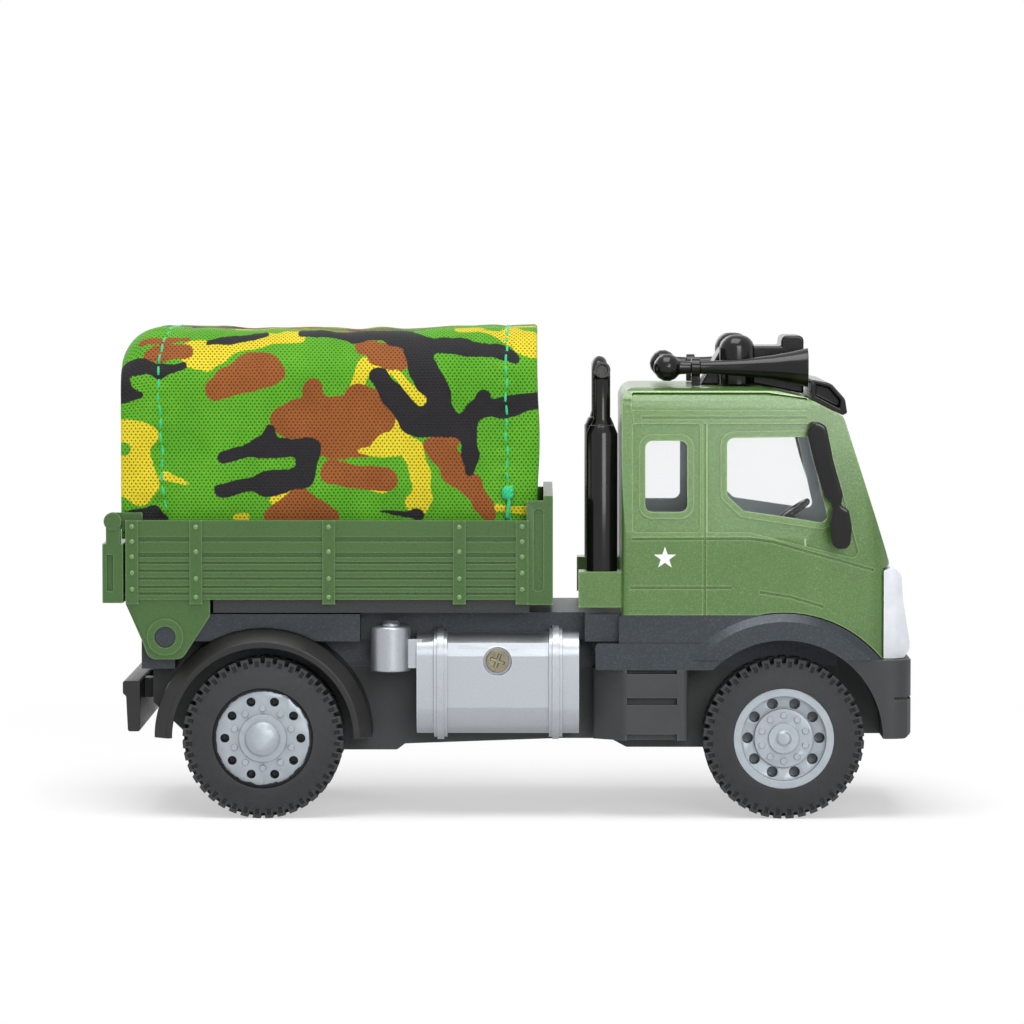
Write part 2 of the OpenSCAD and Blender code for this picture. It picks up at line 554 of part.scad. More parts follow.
// Columns: [radius, distance out], from the tyre's seat in to the hub
front_profile = [[rim_r, tyre_out - 0.2], [7.6, tyre_out - 0.2], [7.6, tyre_out - 2], [5.25, tyre_out - 2.2],
  [5.25, tyre_out - 1.2], [2.7, tyre_out - 1.2], [2.7, tyre_out - 0.4], [1.4, tyre_out - 0.4], [1,
    tyre_out], [0, tyre_out]];
rear_profile = [[rim_r, tyre_out - 1.2], [8.25, tyre_out - 0.8], [4.25, tyre_out - 0.8], [4.25,
  tyre_out - 0.2],
  [3, tyre_out - 0.2], [3, tyre_out + 0.7], [2, tyre_out + 1.2], [0, tyre_out + 1.2]];
// Columns: pitch radius, hole radius
front_holes = [6.42, 0.95];
rear_holes = [6.8, 0.8];
// Columns: pitch radius, bolt radius, bolt length
front_bolts = [4.1, 0.55, 1.1];
rear_bolts = [5.35, 0.55, 1.6];
module lug_ring(y, start) translate([0, 0, y]) rotate([0, 0, start]) linear_extrude(tyre_w * 0.4) polygon(
  [for (i = [0:lug_count - 1], e = [[-1, 0], [-1, 1], [1, 1], [1, 0]])
    let (r = tyre_r - lug_h * 1.2 * (1 - e[1])) on_circle(r,
      i * 360 / lug_count + e[0] * asin(lug_w / 2 / r))]);
module tyre(x, side) color(tyre_grey) on_side(side) about_axle(x) difference() {
  union() {
    turned([[rim_r - 1, tyre_in], [tyre_r - 3, tyre_in], [tyre_r - lug_h, tyre_in + 1], [tyre_r - lug_h,
      tyre_out - 1],
      [tyre_r - 3, tyre_out], [rim_r - 1, tyre_out]]);
    lug_ring(tyre_in + 0.7, 0);
    lug_ring(tyre_out - 0.7 - tyre_w * 0.4, 180 / lug_count);
  }
  translate([0, 0, tyre_in - 1]) cylinder(r = rim_r + 0.02, h = tyre_w + 2, $fn = 96);
}
module front_axle() axle(front_axle_x);
module rear_axle() axle(rear_axle_x);
module front_rim_left() rim(front_axle_x, 1, front_profile, front_holes, front_bolts);
module front_rim_right() rim(front_axle_x, -1, front_profile, front_holes, front_bolts);
module rear_rim_left() rim(rear_axle_x, 1, rear_profile, rear_holes, rear_bolts);
module rear_rim_right() rim(rear_axle_x, -1, rear_profile, rear_holes, rear_bolts);
module front_tyre_left() tyre(front_axle_x, 1);
module front_tyre_right() tyre(front_axle_x, -1);
module rear_tyre_left() tyre(rear_axle_x, 1);
module rear_tyre_right() tyre(rear_axle_x, -1);

// Bed: planked sides with posts, floor, headboard, rails and hinge ears
// Columns: height of a groove between planks, its width
grooves = [[50.1, 0.8], [47.3, 0.8], [45.9, 0.4], [44.5, 0.4], [43.1, 0.4], [41.6, 0.4], [40.4, 0.4]];
groove_d = 0.4;
posts = [bed_rear_x + 1.2, bed_rear_x + 12.6, bed_rear_x + 36.3, bed_front_x - 12.5, bed_front_x - 1.3];
post_w = 2.3;
bed_in = bed_y - bed_wall;
gate_hinge_x = bed_rear_x - 2.25;
gate_pin_r = 0.8;
board_x = bed_front_x + 2.5;
board_top = 57.9;
rail_gap = 0.3;
ear_boss = 3.3;
head_x = bed_front_x + 1.6;
socket_w = 3;
socket_z = [bed_floor + 3, bed_floor + 8];
module bed_side() difference() {
  union() {
    block(bed_rear_x, bed_front_x, bed_in, bed_y - groove_d, bed_bottom, bed_top);
    block(bed_rear_x, bed_front_x, bed_in, bed_y, bed_bottom, bed_top);
  }
  for (g = grooves) block(bed_rear_x - 1, bed_front_x - post_w - 0.1, bed_y - groove_d, bed_y + 1,
    g[0] - g[1] / 2, g[0] + g[1] / 2);
}
module bed_tub() color(bed_green) difference() {
  union() {
    block(bed_rear_x, board_x + 1, -bed_in - 0.5, bed_in + 0.5, bed_bottom, bed_floor);
    both_sides() bed_side();
    both_sides() for (x = posts) block(x - post_w / 2, x + post_w / 2, bed_in + 0.5, bed_y + 0.35,
      bed_bottom - 0.8, bed_top);
    both_sides() block(bed_front_x - 0.5, board_x + 0.5, bed_in, bed_y, bed_bottom - 0.9, board_top - 0.9);
    block(board_x, board_x + 1.7, -bed_y, bed_y, bed_bottom - 0.9, board_top);
    both_sides() block(bed_rear_x + 15.5, bed_front_x, frame_y - 3, frame_y + 1, frame_top + rail_gap,
      bed_bottom + 0.5);
    both_sides() side_view([[hinge_x - 4, hinge_z - 1, 0], [hinge_x - 3, hinge_z - 4, 2], [hinge_x + 3,
      hinge_z - 4, 2],
      [hinge_x + 8, hinge_z + 3.7, 0.5], [hinge_x + 8, bed_bottom + 0.5, 0], [bed_rear_x, bed_bottom + 0.5,
        0],
      [bed_rear_x, bed_bottom - 0.7, 0.5]], ear_in, ear_in + ear_t);
    both_sides() gate_lug();
    both_sides() rod_y(hinge_x, hinge_z, ear_boss, ear_in + 0.5, ear_in + ear_t + 0.4);
    both_sides() for (x = hoop_x) block(x - socket_w / 2, x + socket_w / 2, hoop_y - socket_w / 2,
      bed_in + 0.2, socket_z[0], socket_z[1]);
  }
  both_sides() for (x = hoop_x) translate([x, hoop_y, socket_z[0] + 1]) cylinder(d = hoop_d + 2 * run_gap,
    h = bed_top);
  both_sides() side_view([[head_x - 0.8, bed_bottom + 1.6, 0.6], [head_x + 0.8, bed_bottom + 1.6, 0.6],
    [head_x + 0.8, board_top - 2.4, 0.6], [head_x - 0.8, board_top - 2.4, 0.6]], bed_y - 0.4, bed_y + 1);
  both_sides() rod_y(hinge_x, hinge_z, hinge_r + run_gap, ear_in - 1, ear_in + ear_t + 2);
  both_sides() rod_y(gate_hinge_x, gate_hinge_z, gate_pin_r + run_gap, bed_in - 2, bed_in + 1);
}
// Lug that carries the tailgate's pin, inside the line of the bed's sides
lug_y = bed_in - 0.9;
module gate_lug() {
  side_view([[gate_hinge_x - 1.5, gate_hinge_z - 1.5, 1.4], [bed_rear_x + 3, gate_hinge_z - 1.5, 0.3],
    [bed_rear_x + 3, gate_hinge_z + 1.5, 0.3], [gate_hinge_x - 1.5, gate_hinge_z + 1.5, 1.4]], lug_y,
      bed_in - 0.1);
  block(bed_rear_x, bed_rear_x + 2.4, lug_y, bed_in + 0.2, gate_hinge_z - 1.5, bed_top);
}

// Tailgate: hung from a knob and pin at each end of its top
gate_x = bed_rear_x - 0.4;
gate_top = 49.3;
module tailgate() color(bed_green) {
  difference() {
    block(gate_x - gate_t, gate_x, -bed_y, bed_y, bed_bottom - 0.6, gate_top);
    for (y = [-18:12:18]) block(gate_x - gate_t - 1, gate_x - gate_t + 0.8, y - 5, y + 5, bed_bottom + 1.2,
      gate_top - 1.8);
    both_sides() block(gate_x - gate_t + 0.8, gate_x - gate_t + 1.9, bed_y - 0.7, bed_y + 1,
      bed_bottom + 1.5, gate_top - 2);
  }
  both_sides() {
    block(gate_hinge_x - 1.2, gate_hinge_x + 1.4, bed_in + 0.1, bed_y, gate_top - 0.5, gate_hinge_z);
    rod_y(gate_hinge_x, gate_hinge_z, 1.6, bed_in + 0.1, bed_y + 0.2);
    rod_y(gate_hinge_x, gate_hinge_z, gate_pin_r, lug_y + 0.1, bed_in + 0.5);
  }
}

// Canopy: a cloth tunnel over two wire hoops, turned down over the rear one
canopy_rear_x = bed_rear_x - 0.8;
canopy_front_x = bed_front_x + canopy_over;
canopy_low = gate_top + 0.7;
canopy_y = canopy_w / 2;
hood_z = canopy_top - hood_r - 0.1;
hoop_y = canopy_y - cloth_t - rail_gap - hoop_d / 2;
hoop_top = canopy_top - cloth_t - rail_gap - hoop_d / 2 - 0.5;
hoop_bend = canopy_r - cloth_t - rail_gap - hoop_d / 2;
hoop_x = [bed_rear_x + 4, bed_front_x - 2.3];
function canopy_arch(d, low) = mirrored([[canopy_y - d, low, 0], [canopy_y - d, canopy_top - d,
  canopy_r - d]]);
module canopy_arch_run(d, low, x0, x1) translate([x0, 0, 0]) rotate([90, 0, 90]) linear_extrude(x1 - x0)
  polygon(rounded(canopy_arch(d, low), 8));
module canopy() color("#5aaa32") difference() {
  intersection() {
    canopy_arch_run(0, canopy_low, canopy_rear_x, canopy_front_x);
    side_view([[canopy_rear_x, canopy_low - 1, 0], [canopy_front_x + 1, canopy_low - 1, 0],
      [canopy_front_x + 1, canopy_top + 1, 0], [canopy_rear_x + hood_r, canopy_top + 1, 0],
      [canopy_rear_x + hood_r, canopy_top, 0], [canopy_rear_x, canopy_top, hood_r - 0.1]], -canopy_y - 1,
        canopy_y + 1);
  }
  intersection() {
    canopy_arch_run(cloth_t, canopy_low - 1, canopy_rear_x - 1, canopy_front_x + 1);
    side_view([[canopy_rear_x - 1, canopy_low - 2, 0], [canopy_front_x + 2, canopy_low - 2, 0],
      [canopy_front_x + 2, canopy_top, 0], [canopy_rear_x + hood_r, canopy_top, 0],
      [canopy_rear_x + hood_r, canopy_top - cloth_t, 0], [canopy_rear_x + cloth_t, canopy_top - cloth_t,
        hood_r - cloth_t - 0.1],
      [canopy_rear_x + cloth_t, hood_z, 0], [canopy_rear_x - 1, hood_z, 0]], -canopy_y - 1, canopy_y + 1);
  }
}
module canopy_hoops() color("silver") for (x = hoop_x) translate([x, 0, 0]) {
  translate([0, hoop_bend - hoop_y, hoop_top]) rotate([-90, 0, 0]) cylinder(d = hoop_d,
    h = 2 * (hoop_y - hoop_bend));
  both_sides() {
    translate([0, hoop_y, socket_z[0] + 1]) cylinder(d = hoop_d, h = hoop_top - hoop_bend - socket_z[0] - 1);
    translate([0, hoop_y - hoop_bend, hoop_top - hoop_bend]) rotate([90, 0, 90]) rotate_extrude(angle = 90)
      translate([hoop_bend, 0]) circle(d = hoop_d, $fn = 24);
  }
}

base_plate();
frame_deck();
front_fender();
front_bumper();
rear_bumper();
rear_fender_left();
rear_fender_right();
tank_left();
tank_right();
tank_screws();
cab_shell();
glazing();
cab_interior();
steering_wheel();
front_lens();
sun_visor();
roof_box();
beacons();
horn_left();
horn_right();
mirror_left();
mirror_right();
stack_left();
stack_right();
front_axle();
front_rim_left();
front_rim_right();
front_tyre_left();
front_tyre_right();
rear_axle();
rear_rim_left();
rear_rim_right();
rear_tyre_left();
rear_tyre_right();
bed_tub();
canopy_hoops();
canopy();
tailgate();
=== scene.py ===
import json
import math
import bmesh
import bpy
import numpy as np
from mathutils import Matrix, Vector


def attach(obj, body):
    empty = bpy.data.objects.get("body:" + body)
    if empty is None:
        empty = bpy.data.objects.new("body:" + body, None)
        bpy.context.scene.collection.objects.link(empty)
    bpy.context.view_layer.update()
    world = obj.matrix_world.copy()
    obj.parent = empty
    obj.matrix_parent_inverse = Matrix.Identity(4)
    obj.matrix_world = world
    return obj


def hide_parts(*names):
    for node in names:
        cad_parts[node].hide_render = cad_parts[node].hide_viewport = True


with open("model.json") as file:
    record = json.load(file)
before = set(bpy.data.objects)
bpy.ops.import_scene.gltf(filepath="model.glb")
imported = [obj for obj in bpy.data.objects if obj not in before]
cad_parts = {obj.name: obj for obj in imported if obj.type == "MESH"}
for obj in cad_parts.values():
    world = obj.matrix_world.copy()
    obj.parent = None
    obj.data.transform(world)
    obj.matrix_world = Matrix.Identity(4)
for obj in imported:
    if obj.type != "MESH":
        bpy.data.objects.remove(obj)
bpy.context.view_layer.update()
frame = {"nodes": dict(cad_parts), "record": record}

mm = 0.001  # the sizes below are written in millimetres
slotOf = {part["node"]: part["material_slot"] for part in frame["record"]["subparts"]}
bodyOf = {node: body for body, names in frame["record"]["behaviour"]["bodies"].items() for node in names}


# camera at the photograph's viewpoint

viewpoint = {
    "eye": (5.4, -978.0, 103.4),
    "aim": (0.4, -28.0, 55.0),  # what the middle of the picture shows, on the near side
    "lens": 187.6, "sensor": 36.0,
    "clip": (0.05, 20.0),  # in metres
}


def placeCamera(spec):
    data = bpy.data.cameras.new("camera")
    data.sensor_width = spec["sensor"]
    data.lens = spec["lens"]
    data.clip_start, data.clip_end = spec["clip"]
    camera = bpy.data.objects.new("camera", data)
    eye = Vector(spec["eye"]) * mm
    look = (Vector(spec["aim"]) * mm - eye).to_track_quat("-Z", "Y")
    camera.matrix_world = Matrix.Translation(eye) @ look.to_matrix().to_4x4()
    bpy.context.scene.collection.objects.link(camera)
    bpy.context.scene.camera = camera


placeCamera(viewpoint)
print("camera placed")


# shader building: a wire is a socket with arithmetic, a finish is a material


class Wire:
    def __init__(self, finish, socket):
        self.finish = finish
        self.socket = socket

    def math(self, operation, first, second=0.0):
        return self.finish.node("Math", {"operation": operation}, {0: first, 1: second})

    def __add__(self, other):
        return self.math("ADD", self, other)

    def __sub__(self, other):
        return self.math("SUBTRACT", self, other)

    def __rsub__(self, other):
        return self.math("SUBTRACT", other, self)

    def __mul__(self, other):
        return self.math("MULTIPLY", self, other)

    def __truediv__(self, other):
        return self.math("DIVIDE", self, other)

    def __pow__(self, other):
        return self.math("POWER", self, other)

    __radd__ = __add__
    __rmul__ = __mul__

    def sine(self):
        return self.math("SINE", self)

    def size(self):
        return self.math("ABSOLUTE", self)

    def over(self, other):
        return self.math("GREATER_THAN", self, other)

    def most(self, other):
        return self.math("MAXIMUM", self, other)

    def step(self, low, high):  # 0 below low, 1 above high, smooth between
        spans = {"From Min": low, "From Max": high}
        return self.finish.node("MapRange", {"interpolation_type": "SMOOTHSTEP"}, {"Value": self, **spans})


class Finish:
    def __init__(self, name, world=False):
        self.material = bpy.data.worlds.new(name) if world else bpy.data.materials.new(name)
        self.material.use_nodes = True
        self.tree = self.material.node_tree
        self.shader = self.tree.nodes["Background" if world else "Principled BSDF"]
        self.out = self.tree.nodes["World Output" if world else "Material Output"]
        self.spot = None

    def node(self, kind, settings=None, sockets=None, out=0):
        item = self.tree.nodes.new("ShaderNode" + kind)
        for key, value in (settings or {}).items():
            setattr(item, key, value)
        for key, value in (sockets or {}).items():
            if isinstance(value, Wire):
                self.tree.links.new(value.socket, item.inputs[key])
            else:
                item.inputs[key].default_value = value
        return Wire(self, item.outputs[out])

    def place(self):  # where a point lies on its piece
        if not self.spot:
            self.spot = self.node("TexCoord", out="Object")
        return self.spot

    def axes(self, vector):
        return [self.node("SeparateXYZ", None, {0: vector}, out=name) for name in "XYZ"]

    def noise(self, grain, detail=2.0, rough=0.5):  # grain is the size of a lump, in millimetres
        spans = {"Scale": 1.0 / (grain * mm), "Detail": detail, "Roughness": rough}
        return self.node("TexNoise", None, {"Vector": self.place(), **spans}, out="Fac")

    def flakes(self, grain):  # a random level in each cell, of about this size in millimetres
        spans = {"Vector": self.place(), "Scale": 1.0 / (grain * mm)}
        return self.axes(self.node("TexVoronoi", None, spans, out="Color"))[0]

    def mix(self, amount, first, second):
        return self.node("Mix", {"data_type": "RGBA"}, {0: amount, 6: first, 7: second}, out=2)

    def bump(self, height, depth):  # depth in millimetres
        return self.node("Bump", None, {"Height": height, "Distance": depth * mm, "Strength": 1.0})

    def openness(self, reach, **settings):  # 1 where nothing stands near, within the reach in millimetres
        return self.node("AmbientOcclusion", settings, {"Distance": reach * mm}, out="AO")

    def outerEdges(self, reach):  # 1 along outer edges, fading over the reach; several finishes paint highlight along these edges
        return 1.0 - self.openness(reach, inside=True, samples=4)

    def seen(self):  # 1 where the camera sees a thing, straight, mirrored or through glass
        kinds = ("Is Camera Ray", "Is Glossy Ray", "Is Transmission Ray")
        straight, mirrored, through = [self.node("LightPath", out=kind) for kind in kinds]
        return straight.most(mirrored).most(through)

    def blend(self, amount, first, second):
        both = self.node("MixShader", None, {0: amount, 1: first, 2: second})
        self.tree.links.new(both.socket, self.out.inputs["Surface"])
        return self.material

    def set(self, **values):
        for key, value in values.items():
            socket = self.shader.inputs[socketNames[key]]
            if isinstance(value, Wire):
                self.tree.links.new(value.socket, socket)
            else:
                socket.default_value = value
        return self.material


socketNames = {
    "color": "Base Color", "rough": "Roughness", "metal": "Metallic", "normal": "Normal",
    "coat": "Coat Weight", "coatRough": "Coat Roughness", "specular": "Specular IOR Level",
    "sheen": "Sheen Weight", "sheenRough": "Sheen Roughness",
}


def paint(red, green, blue):  # a colour as seen on screen, 0 to 255
    def straight(level):
        level /= 255.0
        return level / 12.92 if level <= 0.04045 else ((level + 0.055) / 1.055) ** 2.4
    return (straight(red), straight(green), straight(blue), 1.0)


# finishes


cabWall = {"inner": (8.0, 12.0), "back": 20.6}  # beyond these the side walls' inner faces are bare metal, painted near-white as painted light for the shaded cab inside


def cabEnamel():
    f = Finish("cabEnamel")
    cloud = f.noise(9.0, 3.0)
    peel = f.noise(0.38, 2.0)
    spark = f.flakes(0.14).step(0.55, 1.0)  # fine metal flake in the paint
    # painted highlight: the cab's edges and creases are mixed towards pale green
    edge = f.outerEdges(0.4).step(0.15, 0.6)
    green = f.mix(cloud, paint(62, 97, 34), paint(74, 110, 43))
    green = f.mix(spark * 0.20, green, paint(146, 180, 140))
    green = f.mix(edge * 0.55, green, paint(158, 188, 116))
    x, y, z = [axis / mm for axis in f.axes(f.place())]
    facing = f.axes(f.node("NewGeometry", out="Normal"))[1]
    # bare inner faces, painted near-white as painted light so the shaded inside looks lit
    inside = (0.0 - y * facing).step(*cabWall["inner"]) * x.over(cabWall["back"])
    green = f.mix(inside, green, paint(226, 234, 238))
    f.set(color=green, rough=0.28 + 0.10 * peel, normal=f.bump(peel, 0.022), metal=0.12 + 0.30 * spark)
    return f.set(coat=0.5, coatRough=0.14)


runnerShade = {"top": 39.25, "half": 25.8, "rear": -53.2}  # painted shade: the runners under the bed's overhang, darkened near-black, lie within these


def bedPlastic():
    f = Finish("bedPlastic")
    cloud = f.noise(14.0, 3.0)
    grain = f.noise(0.5, 3.0)
    # painted highlight: the bed's edges and ridges are mixed towards pale green
    edge = f.outerEdges(0.35).step(0.15, 0.7)
    green = f.mix(cloud, paint(48, 82, 30), paint(59, 94, 39))
    green = f.mix(edge * 0.6, green, paint(134, 170, 112))
    x, y, z = [axis / mm for axis in f.axes(f.place())]
    # painted shade on the runners under the bed
    railShade = (1.0 - z.over(runnerShade["top"])) * (1.0 - y.size().over(runnerShade["half"])) * x.over(runnerShade["rear"])
    green = f.mix(railShade, green, paint(34, 38, 36))
    return f.set(color=green, rough=0.22 + 0.14 * grain, normal=f.bump(grain, 0.012))


def framePaint():
    f = Finish("framePaint")
    spark = f.flakes(0.16).step(0.7, 1.0)
    peel = f.noise(0.45, 2.0)
    grey = f.mix(f.noise(8.0, 3.0), paint(34, 39, 44), paint(45, 51, 57))
    grey = f.mix(spark * 0.3, grey, paint(96, 108, 118))
    f.set(color=grey, metal=0.30 + 0.35 * spark)
    return f.set(rough=0.34 + 0.12 * peel, normal=f.bump(peel, 0.020))


def basePlastic():
    f = Finish("basePlastic")
    grain = f.noise(0.4, 3.0)
    grey = f.mix(f.noise(7.0, 3.0), paint(36, 39, 40), paint(48, 51, 52))
    grey = f.mix(f.outerEdges(0.5).step(0.25, 0.8) * 0.35, grey, paint(112, 115, 116))
    return f.set(color=grey, rough=0.46 + 0.16 * grain, normal=f.bump(grain, 0.014))


def glossBlack(name="glossBlack", level=11, rough=0.13):
    f = Finish(name)
    ripple = f.noise(2.4, 2.0)
    smear = f.noise(5.0, 3.0)
    black = f.mix(smear, paint(level - 4, level - 5, level - 5), paint(level + 6, level + 4, level + 4))
    black = f.mix(f.outerEdges(0.4).step(0.3, 0.8) * 0.3, black, paint(86, 82, 80))
    return f.set(color=black, rough=rough + 0.10 * smear, specular=0.34, normal=f.bump(ripple, 0.02))


def tankSilver():
    f = Finish("tankSilver")
    speck = f.noise(0.3, 2.0)
    silver = f.mix(speck, paint(156, 160, 166), paint(174, 178, 184))
    # painted highlight: the tank's edges are mixed towards near-white
    silver = f.mix(f.outerEdges(0.5).step(0.3, 0.9) * 0.5, silver, paint(236, 237, 240))
    return f.set(color=silver, metal=0.8, rough=0.32 + 0.12 * speck, normal=f.bump(speck, 0.008))


def rimPaint(name, chipped=None):
    f = Finish(name)
    speck = f.noise(0.35, 2.0)
    silver = f.mix(f.noise(3.0, 3.0), paint(140, 148, 155), paint(166, 173, 179))
    bright = f.openness(1.6, samples=6, only_local=True).step(0.15, 0.62)  # painted shade: the rim's holes are darkened where they are enclosed
    silver = f.mix(1.0 - bright, silver, paint(18, 19, 20))
    rough = 0.34 + 0.14 * speck
    metal = 0.45
    if chipped:  # paint rubbed off the rim's edge
        x, y, z = [axis / mm for axis in f.axes(f.place())]
        dx, dz = x - chipped["x"], z - chipped["z"]
        ragged = (dx * dx + dz * dz) ** 0.5 + 1.6 * (f.noise(2.6, 4.0, 0.62) - 0.5)
        bare = ragged.step(chipped["radius"], chipped["radius"] + 0.12)
        silver = f.mix(bare, silver, paint(44, 45, 47))
        rough = rough + 0.2 * bare
        metal = metal * (1.0 - bare)
    return f.set(color=silver, metal=metal, rough=rough, normal=f.bump(speck, 0.008))


tread = {  # the notches in the tyres' shoulders
    "front": 49.0, "rear": -44.2, "axle": 14.4,  # the hubs' places and height
    "lugs": 40, "inner": 12.75, "outer": 13.75, "side": 26.3, "wide": 0.74, "floor": 26.42, "clear": 27.4,
}


def tyreRubber():
    f = Finish("tyreRubber")
    grain = f.noise(0.35, 3.0, 0.6)
    dust = f.noise(4.0, 4.0)
    x, y, z = [axis / mm for axis in f.axes(f.place())]
    dx = x - (x.over(0.0) * (tread["front"] - tread["rear"]) + tread["rear"])
    dz = z - tread["axle"]
    radius = (dx * dx + dz * dz) ** 0.5
    turn = f.node("Math", {"operation": "ARCTAN2"}, {0: dz, 1: dx})
    block = (turn * (tread["lugs"] / 2)).sine().size()  # 1 in the middle of each lug
    inner, outer = [radius.step(tread[name], tread[name] + 0.15) for name in ("inner", "outer")]
    shoulder = inner * (1.0 - outer) * y.size().step(tread["side"], tread["side"] + 0.2)
    notchShade = block.step(0.80, 0.90) * shoulder
    grey = f.mix(dust, paint(31, 32, 34), paint(43, 44, 46))
    grey = f.mix(f.outerEdges(0.5).step(0.25, 0.8) * 0.4, grey, paint(82, 83, 84))
    # painted shade: the lugs' shoulder notches are darkened
    grey = f.mix(notchShade * 0.6, grey, paint(14, 14, 15))
    return f.set(color=grey, rough=0.62 + 0.2 * grain, normal=f.bump(grain, 0.03))


def plainSteel():
    f = Finish("plainSteel")
    drawn = f.noise(0.25, 2.0)
    grey = f.mix(drawn, paint(168, 166, 158), paint(204, 201, 190))
    return f.set(color=grey, metal=0.95, rough=0.22 + 0.2 * drawn, normal=f.bump(drawn, 0.01))


def screwPlating():
    f = Finish("screwPlating")
    tarnish = f.noise(0.9, 3.0)
    warm = f.mix(tarnish, paint(92, 86, 68), paint(158, 152, 130))
    return f.set(color=warm, metal=0.95, rough=0.24 + 0.2 * tarnish, normal=f.bump(tarnish, 0.02))


def clearPlastic():
    f = Finish("clearPlastic")
    wave = f.noise(6.0, 2.0)
    f.set(color=paint(236, 240, 242), rough=0.06, specular=0.6, normal=f.bump(wave, 0.05))
    clear = f.node("BsdfTransparent", None, {"Color": (0.985, 0.99, 0.99, 1.0)})
    glint = f.node("Fresnel", None, {"IOR": 1.5})
    return f.blend(glint * 0.8, clear, Wire(f, f.shader.outputs[0]))


def lensPlastic():
    f = Finish("lensPlastic")
    y = f.axes(f.place())[1] / mm
    lamp = y.size().step(13.0, 13.4)  # fluted lamps at the sides, plain silver grille between
    flute = (y * (math.pi / 1.5)).sine().size() * lamp
    cloud = f.noise(3.0, 3.0)
    pale = f.mix(cloud, paint(192, 197, 206), paint(228, 231, 236))
    silver = f.mix(cloud, paint(138, 144, 152), paint(160, 166, 174))
    pale = f.mix(lamp, silver, pale)
    # painted highlight: the lens's edges are mixed towards white
    pale = f.mix(f.outerEdges(0.8).step(0.1, 0.8) * 0.5, pale, paint(248, 249, 250))
    rough = 0.10 + 0.12 * cloud
    return f.set(color=pale, rough=rough, metal=0.15, normal=f.bump(flute, 0.03), coat=1.0, coatRough=0.04)


def cabinPlastic():
    f = Finish("cabinPlastic")
    grain = f.noise(0.5, 3.0)
    # painted light: the inside pieces are painted pale so the shaded cab inside looks lit
    grey = f.mix(f.noise(9.0, 3.0), paint(186, 194, 200), paint(212, 219, 224))
    return f.set(color=grey, metal=0.2, rough=0.34 + 0.2 * grain, normal=f.bump(grain, 0.02))


def sewingThread():
    f = Finish("sewingThread")
    fibre = f.noise(0.16, 3.0)
    teal = f.mix(fibre, paint(0, 150, 92), paint(30, 214, 142))
    return f.set(color=teal, rough=0.62, sheen=0.3, normal=f.bump(fibre, 0.05))


def starWhite():
    f = Finish("starWhite")
    speck = f.noise(0.4, 3.0)
    return f.set(color=f.mix(speck, paint(226, 226, 222), paint(244, 244, 241)), rough=0.42 + 0.1 * speck)


finishes = {
    "cab_paint": cabEnamel(), "bed_plastic": bedPlastic(), "frame_paint": framePaint(),
    "base_plastic": basePlastic(), "black_plastic": glossBlack(), "tank_paint": tankSilver(),
    "rim_paint": rimPaint("rimPaint"), "tyre": tyreRubber(), "steel": plainSteel(),
    "glass": clearPlastic(), "lens": lensPlastic(), "cabin_plastic": cabinPlastic(),
}
fenderBlack = glossBlack("fenderBlack", 30, 0.34)
print("finishes made")


# the rigid pieces: copies of the solids with their edges rounded as a casting's are

edgeRadius = {  # millimetres, by node; the rest get "other"
    "cab_shell": 0.16, "bed_tub": 0.16, "tailgate": 0.2, "front_fender": 0.3, "front_bumper": 0.35,
    "frame_deck": 0.3, "base_plate": 0.3, "rear_bumper": 0.35, "tank_left": 0.5, "tank_right": 0.5,
    "roof_box": 0.4, "sun_visor": 0.35, "mirror_left": 0.0, "mirror_right": 0.0, "front_lens": 0.3,
    "cab_interior": 0.5, "glazing": 0.0, "canopy_hoops": 0.0, "other": 0.18,
}
softened = {"nodes": ("mirror_left", "mirror_right"), "grid": 0.16, "passes": 36}  # pieces rounded all over
flattened = ("cab_shell", "tank_left", "tank_right")  # pieces whose broad faces stay flat in smooth shading
crease = math.radians(32)  # edges sharper than this are rounded
coplanar = math.radians(1.0)  # faces that meet flatter than this are joined


def newPiece(name, mesh, body, slot, material=None):
    piece = bpy.data.objects.new(name, mesh)
    bpy.context.scene.collection.objects.link(piece)
    mesh.materials.clear()
    mesh.materials.append(material or finishes[slot])
    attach(piece, body)
    return piece


def modify(piece, name, kind, **settings):
    change = piece.modifiers.new(name, kind)
    for key, value in settings.items():
        setattr(change, key, value)


def castCopy(node, material=None):
    source = frame["nodes"][node]
    work = bmesh.new()
    work.from_mesh(source.data)
    bmesh.ops.remove_doubles(work, verts=work.verts, dist=1e-6)
    bmesh.ops.dissolve_limit(work, angle_limit=coplanar, verts=work.verts, edges=work.edges)
    mesh = bpy.data.meshes.new(node + "Cast")
    work.to_mesh(mesh)
    work.free()
    piece = newPiece(node + "Cast", mesh, bodyOf[node], slotOf[node], material)
    width = edgeRadius.get(node, edgeRadius["other"])
    if width:
        modify(piece, "edges", "BEVEL", width=width * mm, segments=3, limit_method="ANGLE",
               angle_limit=crease, use_clamp_overlap=True, harden_normals=True)
    if node in flattened:
        modify(piece, "flat", "WEIGHTED_NORMAL", mode="FACE_AREA", weight=50, keep_sharp=True)
    if node in softened["nodes"]:
        modify(piece, "grid", "REMESH", mode="VOXEL", voxel_size=softened["grid"] * mm,
               use_smooth_shade=True)
        modify(piece, "soft", "SMOOTH", iterations=softened["passes"])
    mesh.shade_smooth()
    mesh.set_sharp_from_angle(angle=crease)
    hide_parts(node)
    return piece


